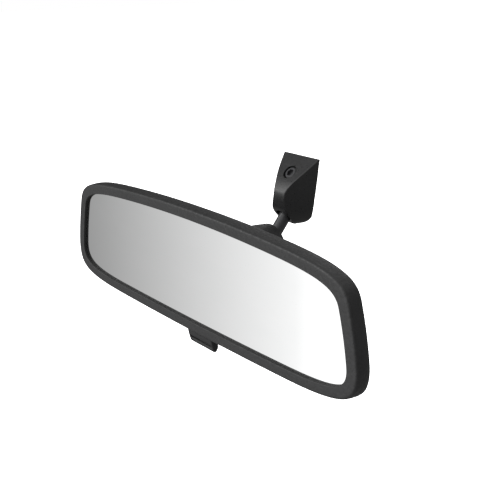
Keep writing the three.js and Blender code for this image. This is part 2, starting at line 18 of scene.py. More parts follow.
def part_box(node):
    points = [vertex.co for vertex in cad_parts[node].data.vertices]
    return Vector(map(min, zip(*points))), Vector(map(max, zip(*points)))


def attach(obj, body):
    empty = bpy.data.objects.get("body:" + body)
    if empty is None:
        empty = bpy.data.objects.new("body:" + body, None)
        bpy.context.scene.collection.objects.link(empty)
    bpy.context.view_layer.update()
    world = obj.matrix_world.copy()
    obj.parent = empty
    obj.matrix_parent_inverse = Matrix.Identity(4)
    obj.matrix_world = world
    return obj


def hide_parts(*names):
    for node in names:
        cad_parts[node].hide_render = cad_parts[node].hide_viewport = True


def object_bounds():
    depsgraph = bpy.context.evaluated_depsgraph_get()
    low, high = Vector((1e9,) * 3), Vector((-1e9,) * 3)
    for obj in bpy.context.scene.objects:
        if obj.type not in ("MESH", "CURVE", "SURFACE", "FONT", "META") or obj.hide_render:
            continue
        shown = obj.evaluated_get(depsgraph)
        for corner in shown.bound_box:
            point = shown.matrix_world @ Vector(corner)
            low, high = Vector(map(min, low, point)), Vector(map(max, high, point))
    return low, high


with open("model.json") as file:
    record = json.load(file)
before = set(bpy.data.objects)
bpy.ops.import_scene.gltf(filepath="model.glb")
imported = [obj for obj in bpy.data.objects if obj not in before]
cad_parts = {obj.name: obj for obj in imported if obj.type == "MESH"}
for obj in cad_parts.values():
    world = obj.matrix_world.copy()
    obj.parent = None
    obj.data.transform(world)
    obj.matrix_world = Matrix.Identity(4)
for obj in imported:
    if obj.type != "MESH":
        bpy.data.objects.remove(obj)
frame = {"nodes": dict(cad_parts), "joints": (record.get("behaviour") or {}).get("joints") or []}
cad_low, cad_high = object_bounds()
joints = {joint["name"]: joint for joint in frame["joints"]}

MM = 0.001

# ---------------------------------------------------------------- sizes shared with the CAD
OPENING = {"top_half": 109.2, "bottom_half": 119, "half_height": 24.67}
CROWN = {"top": 5.2, "bottom": 1.8, "side": 1.9}
CORNER_CUT = {"top_run": 41.3, "top_drop": 10.0, "bottom_rise": 14.5, "bottom_run": 45.8}
CORNER_TENSION = 0.81
FRAME_WIDTH = 6.1
END_WIDENING = 0.7
CORNER_WIDENING = 0.8
LIP_DEPTH = 1.6
RIM_DEPTH = 8.3
WALL = 2.0
DOME_CENTRE = 1.7
TURRET_CENTRES = (-6.5, 4.6)
TURRET_MOUTH = 55.35
GLASS_OVERLAP = 2.2
GLASS_FRONT = LIP_DEPTH + 0.1
GLASS_THIN = 2.6
GLASS_THICK = 5.4
LEVER_HALF_WIDTH = 11.2
LEVER_BORE = 1.35
CRANK_LENGTH = 4.6
CRANK_LEAN = math.radians(19)
LOWER_BALL_RADIUS = 5.5
UPPER_BALL_RADIUS = 4.8
POCKET = {"half_width": 9, "bottom": 36.5, "top": 47.5, "depth": 3.6, "chamfer": 0.5}
MOUTH_ANGLE = math.radians(13)
MOUTH_RADIUS = 3.6
MOUTH_FAR = 14.5
MOUTH_NEAR = 2.2

# ---------------------------------------------------------------- places taken from the frame
BEZEL_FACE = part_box("front_bezel")[0].y
GLASS_TOP = OPENING["half_height"] + CROWN["top"] + GLASS_OVERLAP
GLASS_BOTTOM = -OPENING["half_height"] - CROWN["bottom"] - GLASS_OVERLAP
HOME = Vector((0, BEZEL_FACE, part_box("mirror_glass")[1].z - GLASS_TOP * MM))
MOUNT_FACE = (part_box("mount_bracket")[1].y - HOME.y) / MM

LOWER_BALL = Vector(joints["lower_ball_nod"]["pos_m"])
UPPER_BALL = Vector(joints["upper_ball_nod"]["pos_m"])
STEM = (UPPER_BALL - LOWER_BALL).normalized()
BALL_SPACING = (UPPER_BALL - LOWER_BALL).length / MM
BACKWARDS = Vector((0, 1, 0))
LEVER_PIVOT = Vector(joints["lever_flip"]["pos_m"])
TILT_PIVOT = Vector(joints["case_tilt"]["pos_m"])


def place(points):
    """Mirror-frame millimetres to row-frame metres."""
    return np.asarray(points, float) * MM + np.array(HOME)


def unplace(point):
    """A row-frame point, in metres, as mirror-frame millimetres."""
    return (np.array(point) - np.array(HOME)) / MM


# ---------------------------------------------------------------- curves
def bezier(controls, count, ends=True):
    """Points along a Bezier curve of any order, with or without its last point."""
    t = np.linspace(0, 1, count + 1)[: None if ends else -1, None]
    layers = [np.asarray(c, float)[None, :] for c in controls]
    while len(layers) > 1:
        layers = [a * (1 - t) + b * t for a, b in zip(layers, layers[1:])]
    return layers[0]


def through(points, steps):
    """A Catmull-Rom curve through the points, steps to each stretch."""
    p = np.asarray(points, float)
    p = np.vstack([2 * p[0] - p[1], p, 2 * p[-1] - p[-2]])
    t = np.linspace(0, 1, steps + 1)[:-1, None]
    made = []
    for a, b, c, d in zip(p, p[1:], p[2:], p[3:]):
        cubic = (3 * b - 3 * c + d - a) * t**3 + (2 * a - 5 * b + 4 * c - d) * t**2
        made.append(b + ((c - a) * t + cubic) / 2)
    return np.vstack(made + [p[-2:-1]])


def crowned_edge(start, end, rise):
    """Controls of a shallow parabola from start to end that stands rise proud, to the left."""
    start, end = np.array(start), np.array(end)
    along = end - start
    outward = np.array([-along[1], along[0]]) / np.linalg.norm(along)
    return start, (start + end) / 2 + 2 * rise * outward, end


def on_parabola(controls, t):
    """Point and unit tangent of a parabola at t."""
    a, b, c = controls
    point = (1 - t) ** 2 * a + 2 * t * (1 - t) * b + t**2 * c
    tangent = (1 - t) * (b - a) + t * (c - b)
    return point, tangent / np.linalg.norm(tangent)


def opening_outline(edge_steps, corner_steps):
    """The glass opening: points and outward normals, clockwise as the driver sees it."""
    top, bottom, half = OPENING["top_half"], OPENING["bottom_half"], OPENING["half_height"]
    corners = [(-top, half), (top, half), (bottom, -half), (-bottom, -half)]
    rises = [CROWN["top"], CROWN["side"], CROWN["bottom"], CROWN["side"]]
    cuts = [
        (CORNER_CUT["top_run"], CORNER_CUT["top_run"]),
        (CORNER_CUT["top_drop"], CORNER_CUT["bottom_rise"]),
        (CORNER_CUT["bottom_run"], CORNER_CUT["bottom_run"]),
        (CORNER_CUT["bottom_rise"], CORNER_CUT["top_drop"]),
    ]
    edges = []
    for i in range(4):
        controls = crowned_edge(corners[i], corners[(i + 1) % 4], rises[i])
        length = np.linalg.norm(controls[2] - controls[0])
        edges.append((controls, cuts[i][0] / length, 1 - cuts[i][1] / length))
    points = []
    for i, (controls, start, end) in enumerate(edges):
        steps = edge_steps if i % 2 == 0 else edge_steps // 3
        for t in np.linspace(start, end, steps + 1)[:-1]:
            points.append(on_parabola(controls, t)[0])
        following, next_start, _ = edges[(i + 1) % 4]
        leave, leave_way = on_parabola(controls, end)
        arrive, arrive_way = on_parabola(following, next_start)
        handles = [
            leave,
            leave + leave_way * cuts[i][1] * CORNER_TENSION,
            arrive - arrive_way * cuts[(i + 1) % 4][0] * CORNER_TENSION,
            arrive,
        ]
        points.extend(bezier(handles, corner_steps, ends=False))
    points = np.array(points)
    along = np.roll(points, -1, axis=0) - np.roll(points, 1, axis=0)
    along /= np.linalg.norm(along, axis=1)[:, None]
    return points, np.stack([-along[:, 1], along[:, 0]], axis=1)


OUTLINE, OUTWARD = opening_outline(54, 26)


def grown_outline(points, outward, margin):
    """An outline moved outwards by a margin, and by more at its ends and corners."""
    across, upright = np.abs(outward.T)
    extra = END_WIDENING * across + CORNER_WIDENING * (2 * across * upright) ** 2
    return points + margin * (1 + extra / FRAME_WIDTH)[:, None] * outward


def outline_ring(margin, depth):
    """The opening's outline grown by a margin; depth is a number or a function of height."""
    grown = grown_outline(OUTLINE, OUTWARD, margin)
    depths = depth(grown[:, 1]) if callable(depth) else np.full(len(grown), float(depth))
    return np.stack([grown[:, 0], depths, grown[:, 1]], axis=1)


# ---------------------------------------------------------------- meshes
def mesh_piece(name, points, faces, sharp=32):
    """A smooth-shaded piece from points in the row frame, its faces turned outwards."""
    mesh = bpy.data.meshes.new(name)
    mesh.from_pydata([tuple(p) for p in points], [], faces)
    bm = bmesh.new()
    bm.from_mesh(mesh)
    bmesh.ops.remove_doubles(bm, verts=bm.verts, dist=1e-7)
    bmesh.ops.recalc_face_normals(bm, faces=bm.faces)
    bm.to_mesh(mesh)
    bm.free()
    piece = bpy.data.objects.new(name, mesh)
    bpy.context.scene.collection.objects.link(piece)
    soften(piece, sharp)
    return piece


def soften(piece, sharp=32):
    """Smooth shading with creases where faces meet at more than the given angle."""
    for polygon in piece.data.polygons:
        polygon.use_smooth = True
    piece.data.set_sharp_from_angle(angle=math.radians(sharp))


def ring_faces(rings, count, around=True, along=False):
    """Quads between neighbouring rings of count points; along joins the last to the first."""
    faces = []
    for r in range(rings if along else rings - 1):
        for i in range(count if around else count - 1):
            a, b = r * count + i, r * count + (i + 1) % count
            c, d = (r + 1) % rings * count + (i + 1) % count, (r + 1) % rings * count + i
            faces.append((a, b, c, d))
    return faces


def loft(name, rings, sharp=32):
    """A solid skinned through rings in the mirror's frame, closed flat at both ends."""
    count = len(rings[0])
    faces = ring_faces(len(rings), count)
    faces.append(tuple(range(count)))
    faces.append(tuple(range((len(rings) - 1) * count, len(rings) * count)))
    return mesh_piece(name, place(np.vstack(rings)), faces, sharp)


def sweep(name, rings, sharp=32):
    """A closed section carried round a closed path: the last ring joins the first."""
    faces = ring_faces(len(rings), len(rings[0]), along=True)
    return mesh_piece(name, place(np.vstack(rings)), faces, sharp)


def turned(name, profile, centre, axis, steps=72, sharp=32):
    """A solid of revolution: (radius, height) points in mm about an axis through centre."""
    turn = Vector((0, 0, 1)).rotation_difference(axis).to_matrix()
    points, rows = [], []
    for radius, height in profile:
        if radius < 1e-6:
            rows.append([len(points)] * steps)
            points.append(Vector((0, 0, height)))
            continue
        rows.append(list(range(len(points), len(points) + steps)))
        for i in range(steps):
            angle = 2 * math.pi * i / steps
            points.append(Vector((radius * math.cos(angle), radius * math.sin(angle), height)))
    if profile[0][0] > 1e-6:
        rows.append(rows[0])
    faces = []
    for low, high in zip(rows, rows[1:]):
        for i in range(steps):
            j = (i + 1) % steps
            corners = list(dict.fromkeys((low[i], low[j], high[j], high[i])))
            if len(corners) > 2:
                faces.append(corners)
    return mesh_piece(name, [centre + turn @ (p * MM) for p in points], faces, sharp)


def arc(radius, start, end, steps, centre=(0, 0)):
    """(radius, height) points on a circle, angles in degrees off the axis."""
    angles = np.radians(np.linspace(start, end, steps + 1))
    return [(centre[0] + radius * math.sin(a), centre[1] + radius * math.cos(a)) for a in angles]


def eased(corners, ease, steps=4):
    """A closed outline whose corners are rounded by cutting ease off each side."""
    corners = [np.array(c, float) for c in corners]
    points = []
    for before, corner, after in zip(corners[-1:] + corners[:-1], corners, corners[1:] + corners[:1]):
        back, ahead = before - corner, after - corner
        run = min(ease, 0.45 * np.linalg.norm(back), 0.45 * np.linalg.norm(ahead))
        start = corner + back / np.linalg.norm(back) * run
        end = corner + ahead / np.linalg.norm(ahead) * run
        points.extend(bezier([start, corner, end], steps))
    return np.array(points)


def inset(outline, distance):
    """A closed 2D outline moved inwards; outline runs either way round."""
    following = np.roll(outline, -1, axis=0)
    along = following - np.roll(outline, 1, axis=0)
    along /= np.linalg.norm(along, axis=1)[:, None]
    area = np.sum(outline[:, 0] * following[:, 1] - outline[:, 1] * following[:, 0])
    inward = np.stack([-along[:, 1], along[:, 0]], axis=1) * np.sign(area)
    return outline + distance * inward


def extruded(name, outline, low, high, ease=0.3, sharp=32):
    """A (depth, height) outline carried across from x = low to x = high, with eased rims."""
    rings = []
    for x, cut in rounded_ends(low, high, ease):
        side = inset(outline, cut)
        rings.append(np.column_stack([np.full(len(side), x), side]))
    return loft(name, rings, sharp)


def rounded_ends(low, high, ease, steps=3):
    """Stations from low to high with the inset that rounds both rims by ease."""
    quarter = [math.pi / 2 * i / steps for i in range(steps + 1)]
    start = [(low + ease * (1 - math.sin(a)), ease * (1 - math.cos(a))) for a in reversed(quarter)]
    end = [(high - ease * (1 - math.sin(a)), ease * (1 - math.cos(a))) for a in quarter]
    return start + end


def applied(piece):
    """Replaces a piece's mesh by what its modifiers make of it."""
    bpy.context.view_layer.update()
    evaluated = piece.evaluated_get(bpy.context.evaluated_depsgraph_get())
    mesh = bpy.data.meshes.new_from_object(evaluated)
    piece.modifiers.clear()
    piece.data = mesh
    return piece


def combine(piece, tools, operation, sharp=32):
    """Boolean of a piece with each tool, which is used up."""
    for tool in tools:
        modifier = piece.modifiers.new("boolean", "BOOLEAN")
        modifier.operation = operation
        modifier.solver = "EXACT"
        modifier.object = tool
        applied(piece)
        bpy.data.objects.remove(tool)
    soften(piece, sharp)
    return piece


def box_tool(low, high, ease=0.4):
    """A cutter block between two mirror-frame corners, its upright edges rounded."""
    outline = eased([(low[1], low[2]), (high[1], low[2]), (high[1], high[2]), (low[1], high[2])], ease)
    return extruded("tool", outline, low[0], high[0], 0.0001)


def bar_tool(start, end, radius):
    """A cutter rod between two points of the mirror's frame."""
    start, end = Vector(place(start)), Vector(place(end))
    length = (end - start).length / MM
    profile = [(0, 0), (radius, 0), (radius, length), (0, length)]
    return turned("tool", profile, start, (end - start).normalized(), 48)


# ---------------------------------------------------------------- materials
def new_material(name, colour, roughness, metallic=0.0):
    """A Principled material, with its node tree and shader."""
    material = bpy.data.materials.new(name)
    material.use_nodes = True
    material.diffuse_color = (*colour, 1)
    tree = material.node_tree
    shader = tree.nodes["Principled BSDF"]
    shader.inputs["Base Color"].default_value = (*colour, 1)
    shader.inputs["Roughness"].default_value = roughness
    shader.inputs["Metallic"].default_value = metallic
    return material, tree, shader


def noise(tree, feature, detail=2.0, stretch=(1, 1, 1)):
    """Noise whose features are about the given size in millimetres."""
    coordinates = tree.nodes.new("ShaderNodeTexCoord")
    mapping = tree.nodes.new("ShaderNodeMapping")
    mapping.inputs["Scale"].default_value = stretch
    texture = tree.nodes.new("ShaderNodeTexNoise")
    texture.inputs["Scale"].default_value = 1 / (feature * MM)
    texture.inputs["Detail"].default_value = detail
    tree.links.new(coordinates.outputs["Object"], mapping.inputs["Vector"])
    tree.links.new(mapping.outputs["Vector"], texture.inputs["Vector"])
    return texture.outputs["Fac"]


def ranged(tree, value, low, high, from_low=0.3, from_high=0.7):
    """A value rescaled from one range to another, clamped."""
    node = tree.nodes.new("ShaderNodeMapRange")
    limits = {"From Min": from_low, "From Max": from_high, "To Min": low, "To Max": high}
    for socket, number in limits.items():
        node.inputs[socket].default_value = number
    tree.links.new(value, node.inputs["Value"])
    return node.outputs["Result"]


def blended(tree, share, first, second):
    """Colour between two others; each is a socket or an (r, g, b)."""
    node = tree.nodes.new("ShaderNodeMix")
    node.data_type = "RGBA"
    tree.links.new(share, node.inputs["Factor"])
    for socket, colour in ((node.inputs[6], first), (node.inputs[7], second)):
        if isinstance(colour, tuple):
            socket.default_value = (*colour, 1)
        else:
            tree.links.new(colour, socket)
    return node.outputs[2]


def bumped(tree, shader, heights):
    """Stacks bumps of (height socket, depth in mm, strength) on the shader's normal."""
    normal = None
    for height, depth, strength in heights:
        bump = tree.nodes.new("ShaderNodeBump")
        bump.inputs["Strength"].default_value = strength
        bump.inputs["Distance"].default_value = depth * MM
        tree.links.new(height, bump.inputs["Height"])
        if normal:
            tree.links.new(normal, bump.inputs["Normal"])
        normal = bump.outputs["Normal"]
    tree.links.new(normal, shader.inputs["Normal"])


def worn_edges(tree, start=0.53, end=0.62):
    """1 on sharp convex edges, 0 on flats and in hollows."""
    geometry = tree.nodes.new("ShaderNodeNewGeometry")
    return ranged(tree, geometry.outputs["Pointiness"], 0, 1, start, end)


def shade(colour, factor):
    """A colour made lighter or darker."""
    return tuple(min(1.0, c * factor) for c in colour)


def textured(
    name, colour, roughness, grain, depth,
    metallic=0.0, spread=0.08, wear=1.5, streak=(1, 1, 1), gloss=0.5,
):
    """Moulded, painted or plated surface: grain of a size and depth in mm, mottling and edge wear."""
    material, tree, shader = new_material(name, colour, roughness, metallic)
    shader.inputs["Specular IOR Level"].default_value = gloss
    fine = noise(tree, grain, 3, streak)
    coarse = noise(tree, 14, 3)
    mottled = blended(tree, ranged(tree, coarse, 0, 1), shade(colour, 0.9), shade(colour, 1.12))
    grained = blended(tree, ranged(tree, fine, 0, 0.5), mottled, shade(colour, 1.35))
    worn = blended(tree, ranged(tree, worn_edges(tree), 0, 0.5, 0, 1), grained, shade(colour, wear))
    tree.links.new(worn, shader.inputs["Base Color"])
    rough = ranged(tree, fine, roughness - spread, roughness + spread)
    tree.links.new(rough, shader.inputs["Roughness"])
    bumped(tree, shader, [(coarse, 0.05, 0.25), (fine, depth, 0.6)])
    return material


def mirror_silver():
    """Silvered glass, with the faintest haze of wiping."""
    material, tree, shader = new_material("mirror_silver", (0.93, 0.935, 0.935), 0.015, 1.0)
    haze = noise(tree, 30, 4, (1, 1, 3))
    tree.links.new(ranged(tree, haze, 0.008, 0.03), shader.inputs["Roughness"])
    tint = blended(tree, ranged(tree, haze, 0, 1), (0.925, 0.932, 0.93), (0.94, 0.943, 0.943))
    tree.links.new(tint, shader.inputs["Base Color"])
    return material


def glass_edge():
    """Ground edge of the glass: frosted green."""
    material, tree, shader = new_material("glass_edge", (0.2, 0.32, 0.27), 0.35)
    ground = noise(tree, 0.3, 3)
    tree.links.new(ranged(tree, ground, 0.25, 0.5), shader.inputs["Roughness"])
    tint = blended(tree, ranged(tree, ground, 0, 1), (0.17, 0.29, 0.24), (0.24, 0.36, 0.31))
    tree.links.new(tint, shader.inputs["Base Color"])
    bumped(tree, shader, [(ground, 0.02, 0.5)])
    return material


def foam_material():
    """Closed-cell foam: small cells and a dull skin."""
    material, tree, shader = new_material("foam", (0.035, 0.035, 0.036), 0.9)
    coordinates = tree.nodes.new("ShaderNodeTexCoord")
    cells = tree.nodes.new("ShaderNodeTexVoronoi")
    cells.inputs["Scale"].default_value = 1 / (0.7 * MM)
    tree.links.new(coordinates.outputs["Object"], cells.inputs["Vector"])
    walls = ranged(tree, cells.outputs["Distance"], 0, 1, 0.1, 0.6)
    tint = blended(tree, walls, (0.022, 0.022, 0.022), (0.05, 0.05, 0.052))
    tree.links.new(tint, shader.inputs["Base Color"])
    bumped(tree, shader, [(cells.outputs["Distance"], 0.15, 0.7)])
    return material


PLASTIC = textured("grained_plastic", (0.0225, 0.0225, 0.023), 0.48, 1.6, 0.5, spread=0.14, gloss=0.3)
# The lever: a slightly darker, less glossy copy of the case's grained plastic; the darker tone is
# painted shade on the tab.
LEVER_PLASTIC_PAINTED_SHADE = textured("lever_plastic_painted_shade", (0.021, 0.021, 0.0215), 0.46, 0.9, 0.1, gloss=0.24)
# The lip's inner wall: a duller copy of the grained plastic whose darker colour is painted shade in
# the recess by the glass.
LIP = textured("lip_plastic_painted_shade", (0.017, 0.017, 0.017), 0.7, 0.9, 0.1, gloss=0.14)
CASTING = textured("black_casting", (0.021, 0.021, 0.0215), 0.34, 1.0, 0.07, wear=1.8, gloss=0.36)
BLACK_STEEL = textured("black_steel", (0.03, 0.03, 0.032), 0.36, 0.5, 0.01, spread=0.05, wear=2.2)
ZINC = textured("plated_steel", (0.5, 0.51, 0.52), 0.34, 0.35, 0.008, metallic=1.0, wear=1.2)
SPRING = textured("spring_steel", (0.3, 0.31, 0.33), 0.3, 0.3, 0.006, metallic=1.0, streak=(1, 1, 6))
ACETAL = textured("acetal", (0.7, 0.68, 0.61), 0.4, 0.8, 0.01, wear=1.1)
NYLON = textured("nylon", (0.028, 0.028, 0.028), 0.58, 0.9, 0.03)
FILM = textured("film", (0.07, 0.075, 0.08), 0.62, 1.5, 0.01)
FOAM = foam_material()
SILVER = mirror_silver()
GLASS_EDGE = glass_edge()


def finish(piece, material, body, slot, *nodes):
    """Gives a piece its material and body, and hides the CAD nodes that it stands for."""
    piece.data.materials.clear()
    piece.data.materials.append(material)
    even = piece.modifiers.new("even", "WEIGHTED_NORMAL")
    even.keep_sharp = True
    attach(piece, body)
    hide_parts(*nodes)
    return piece


# ---------------------------------------------------------------- bezel, glass and case
def lever_slot():
    """Cutter for the slot under the glass that the lever passes through."""
    return box_tool((-11.5, 3.9, -40), (11.5, 14.8, -25.5), 0.8)


def bezel():
    """Frame round the glass: thin lip, nearly flat face, rolled outer edge."""
    section = [(0, LIP_DEPTH), (0, 1.5), (0, 1.0)]
    section += [tuple(p) for p in bezier([(0, 0.45), (0, 0.02), (0.45, 0)], 5)]
    section += [(2.4, 0.02), (4.2, 0.07)]
    section += [tuple(p) for p in bezier([(4.5, 0.1), (5.3, 0.18), (5.7, 0.7), (5.82, 1.7)], 9)]
    section += [(6.0, 3.4), (6.1, 5.2), (6.08, 6.6), (5.95, 7.7), (5.65, 8)]
    section += [(4.6, 8), (4.6, 6), (2.5, 6), (2.5, LIP_DEPTH)]
    piece = sweep("bezel", [outline_ring(margin, depth) for margin, depth in section])
    combine(piece, [lever_slot()], "DIFFERENCE")
    finish(piece, PLASTIC, "case", "grained_plastic", "front_bezel")
    # Faces of the lip's inner wall next to the glass get the darker plastic: painted shade in the
    # recess.
    piece.data.materials.append(LIP)
    for polygon in piece.data.polygons:
        x, depth, height = unplace(polygon.center)
        nearest = np.argmin((OUTLINE[:, 0] - x) ** 2 + (OUTLINE[:, 1] - height) ** 2)
        beyond = np.dot(np.array([x, height]) - OUTLINE[nearest], OUTWARD[nearest])
        if beyond < 0.06 and depth > 0.2:
            polygon.material_index = 1
    return piece


def glass_back(height):
    """Depth of the glass's back at a height: it is thinnest along its lower edge."""
    share = (height - GLASS_BOTTOM) / (GLASS_TOP - GLASS_BOTTOM)
    return GLASS_FRONT + GLASS_THIN + (GLASS_THICK - GLASS_THIN) * share


def glass():
    """Wedge of glass, silvered, with its edges ground off."""
    arris = 0.3
    rings = [
        outline_ring(GLASS_OVERLAP - arris, GLASS_FRONT),
        outline_ring(GLASS_OVERLAP, GLASS_FRONT + arris),
        outline_ring(GLASS_OVERLAP, lambda height: glass_back(height) - arris),
        outline_ring(GLASS_OVERLAP - arris, glass_back),
    ]
    piece = loft("glass", rings, 12)
    finish(piece, SILVER, "case", "silvered_glass", "mirror_glass")
    piece.data.materials.append(GLASS_EDGE)
    for polygon in piece.data.polygons:
        polygon.material_index = 0 if abs(polygon.normal.y) > 0.95 else 1
    return piece


# Outer radius of the turret at each depth, from the flare inside the case to the mouth
FLARE = through([(14, 16), (20, 15.4), (30, 14.6), (36, 14.2), (42, 13.9), (48, 13.6), (54, 13.1)], 8)


def dome_curve(depth_inset):
    """The case's section as (share of the outline's size, depth), from rim to centre."""
    handles = [
        (1, RIM_DEPTH), (0.9, 16.5 - depth_inset), (0.56, 36 - depth_inset), (0, 38 - depth_inset),
    ]
    return bezier(handles, 400)


def shell_rings(margin, depth_inset, wall_inset, mouth, fillet):
    """Rings from the turret's mouth, down its flare and out over the dome to the rim.

    Every ring has one point for each point of the outline, on the ray from the turret's
    middle line to it.
    """
    rim = grown_outline(OUTLINE, OUTWARD, margin)
    base = np.stack([np.zeros(len(rim)), np.clip(rim[:, 1], *TURRET_CENTRES)], axis=1)
    reach = np.linalg.norm(rim - base, axis=1)
    way = (rim - base) / reach[:, None]
    dense = grown_outline(*opening_outline(600, 300), margin) - np.array([0, DOME_CENTRE])
    angles = np.arctan2(dense[:, 1], dense[:, 0])
    order = np.argsort(angles)
    spans = np.linalg.norm(dense, axis=1)[order]
    angles = angles[order]

    def size_at(points):
        """Size of the scaled outline that passes through each point."""
        off = points - np.array([0, DOME_CENTRE])
        span = np.interp(np.arctan2(off[..., 1], off[..., 0]), angles, spans, period=2 * math.pi)
        return np.linalg.norm(off, axis=-1) / span

    curve = dome_curve(depth_inset)
    sizes, depths = curve[::-1, 0], curve[::-1, 1]
    at_curve = np.linspace(1, 0, len(curve))

    def dome_depth(radius):
        return np.interp(size_at(base + way * radius[:, None]), sizes, depths)

    def wall_radius(depth):
        return np.interp(depth, FLARE[:, 0], FLARE[:, 1]) - wall_inset

    meet = np.full(len(rim), 15.0)
    for _ in range(12):
        meet = wall_radius(dome_depth(meet))
    meet_depth = dome_depth(meet)

    def ring(radius, depth):
        flat = base + way * np.broadcast_to(radius, len(rim))[:, None]
        return np.stack([flat[:, 0], np.broadcast_to(depth, len(rim)), flat[:, 1]], axis=1)

    rings = [ring(radius, depth) for radius, depth in mouth]
    wall_end = meet_depth + fillet
    for share in np.linspace(0, 1, 14):
        depth = mouth[-1][1] + (wall_end - mouth[-1][1]) * share
        if share > 0:
            rings.append(ring(wall_radius(depth), depth))
    dome_start = np.minimum(meet + 1.3 * fillet, reach - 4)
    start, end = (wall_radius(wall_end), wall_end), (dome_start, dome_depth(dome_start))
    for t in np.linspace(0, 1, 11)[1:]:
        weights = ((1 - t) ** 2, 2 * t * (1 - t), t**2)
        radius = weights[0] * start[0] + weights[1] * meet + weights[2] * end[0]
        depth = weights[0] * start[1] + weights[1] * meet_depth + weights[2] * end[1]
        rings.append(ring(radius, depth))
    samples = np.linspace(0, 1, 240)
    along = base[:, None] + way[:, None] * (reach[:, None] * samples)[..., None]
    ray_sizes = np.maximum.accumulate(size_at(along), axis=1)
    first = np.interp(size_at(base + way * dome_start[:, None]), sizes, at_curve)
    for share in np.linspace(0, 1, 30)[1:]:
        t = first * (1 - share)
        size = np.interp(t, at_curve[::-1], curve[:, 0])
        radius = [np.interp(s, row, samples * far) for s, row, far in zip(size, ray_sizes, reach)]
        rings.append(ring(np.array(radius), np.interp(t, at_curve[::-1], curve[:, 1])))
    return rings


def rear_case():
    """Back shell: a soft dome that flares into the oval turret round the stem."""
    mouth = [(12.2, TURRET_MOUTH), (12.7, 55.2), (13, 54.8), (13.1, 54.3)]
    rim = [outline_ring(4.3, RIM_DEPTH), outline_ring(4.3, 6.2)]
    shell = loft("rear_case_shell", shell_rings(5.6, 0, 0, mouth, 2.2) + rim)
    inner_mouth = [(12.1, 57.0), (12.05, 55.6), (11.95, 55.0), (11.8, 54.2)]
    cavity = loft("cavity", shell_rings(2.8, WALL, 1.5, inner_mouth, 2) + [outline_ring(2.8, 5)])
    # Left standing in the cavity: cheeks for the tilt pins and the lever's pin, and four ribs
    kept = []
    for side in (-1, 1):
        kept.append(box_tool((side * 28.5 - 1.5, 15.6, 17.6), (side * 28.5 + 1.5, 22.4, 36)))
        kept.append(box_tool((side * 13.2 - 1.3, 8.6, -36), (side * 13.2 + 1.3, 14.2, -24)))
        for x in (54, 70):
            kept.append(box_tool((side * x - 0.9, 10.5, -9), (side * x + 0.9, 36, 11)))
    combine(cavity, kept, "DIFFERENCE")
    tilt, lever = unplace(TILT_PIVOT), unplace(LEVER_PIVOT)
    bores = [
        bar_tool((-40, *tilt[1:]), (40, *tilt[1:]), 1.6),
        bar_tool((-16, *lever[1:]), (16, *lever[1:]), LEVER_BORE),
    ]
    combine(shell, [cavity, lever_slot(), *bores], "DIFFERENCE")
    return finish(shell, PLASTIC, "case", "grained_plastic", "rear_case")


def backing_film():
    """Thin sheet that follows the back of the glass."""
    rings = []
    for extra in (0.1, 0.55):
        rings.append(outline_ring(1.6, lambda height, extra=extra: glass_back(height) + extra))
    return finish(loft("glass_film", rings), FILM, "case", "film", "backing_film")


def foam_pad(label, side):
    """Cushion between the glass and the case, its corners rounded."""
    outline = eased([(-17, -8), (17, -8), (17, 8), (-17, 8)], 3, 6)
    rings = []
    for extra, cut in ((0.65, 0.4), (0.95, 0), (2.85, 0), (3.15, 0.4)):
        side_ring = inset(outline, cut)
        x, height = side * 62 + side_ring[:, 0], side_ring[:, 1]
        rings.append(np.column_stack([x, glass_back(height) + extra, height]))
    piece = loft(f"foam_{label}", rings)
    return finish(piece, FOAM, "case", "foam", f"foam_pad_{label}")


# ---------------------------------------------------------------- day/night lever
def day_night_lever():
    """Ribbed finger tab, hub and crank of the day/night lever."""
    tab = [
        (6.2, -27.4), (4.2, -30.8), (4.3, -33.9), (5.1, -37.6), (6.2, -41.5), (7, -42.7),
        (8.3, -42.6), (9.6, -40.8), (9.7, -38.5), (8.9, -34), (10.2, -29.4),
    ]
    pivot = unplace(LEVER_PIVOT)[1:]
    way = np.array([math.sin(CRANK_LEAN), math.cos(CRANK_LEAN)])
    flank = 0.8 * np.array([way[1], -way[0]])
    crank = pivot + CRANK_LENGTH * way
    sides = np.array([pivot + flank, crank + flank, crank - flank, pivot - flank])
    arm = extruded("arm", sides, -4, 4, 0.15)
    lever = extruded("lever", eased(tab, 0.8), -LEVER_HALF_WIDTH, LEVER_HALF_WIDTH, 0.9)
    hub = bar_tool((-LEVER_HALF_WIDTH, *pivot), (LEVER_HALF_WIDTH, *pivot), 2.6)
    peg = bar_tool((-4, *crank), (4, *crank), 1.3)
    combine(lever, [hub, arm, peg], "UNION")
    cuts = []
    for deep, top in ((5.7, -34.2), (6.7, -38.1)):
        cuts.append(box_tool((-9.8, 3, top - 0.8), (9.8, deep, top)))
    cuts.append(bar_tool((-12, *pivot), (12, *pivot), LEVER_BORE))
    combine(lever, cuts, "DIFFERENCE")
    # The lever gets the darker copy of the grained plastic: painted shade on the tab.
    return finish(lever, LEVER_PLASTIC_PAINTED_SHADE, "lever", "grained_plastic", "day_night_lever")


def pin(name, start, end, radius, node, chamfer=0.3):
    """Plain steel pin with chamfered ends."""
    start, end = Vector(place(start)), Vector(place(end))
    length = (end - start).length / MM
    profile = [
        (0, 0), (radius - chamfer, 0), (radius, chamfer),
        (radius, length - chamfer), (radius - chamfer, length), (0, length),
    ]
    piece = turned(name, profile, start, (end - start).normalized(), 32)
    return finish(piece, ZINC, "case", "plated_steel", node)


# ---------------------------------------------------------------- stem, balls and sockets
def ball(name, radius, rim, seat, bore, centre, axis, node):
    """Steel ball bored for the stem's spigot, with the flat that the stem's shoulder meets."""
    profile = [(0, -radius)] + arc(radius, 179, rim, 40)
    profile += [(3.65, seat), (2.3, seat), (2.3, bore), (0, bore)]
    piece = turned(name, profile, centre, axis)
    return finish(piece, ZINC, "stem", "plated_steel", node)


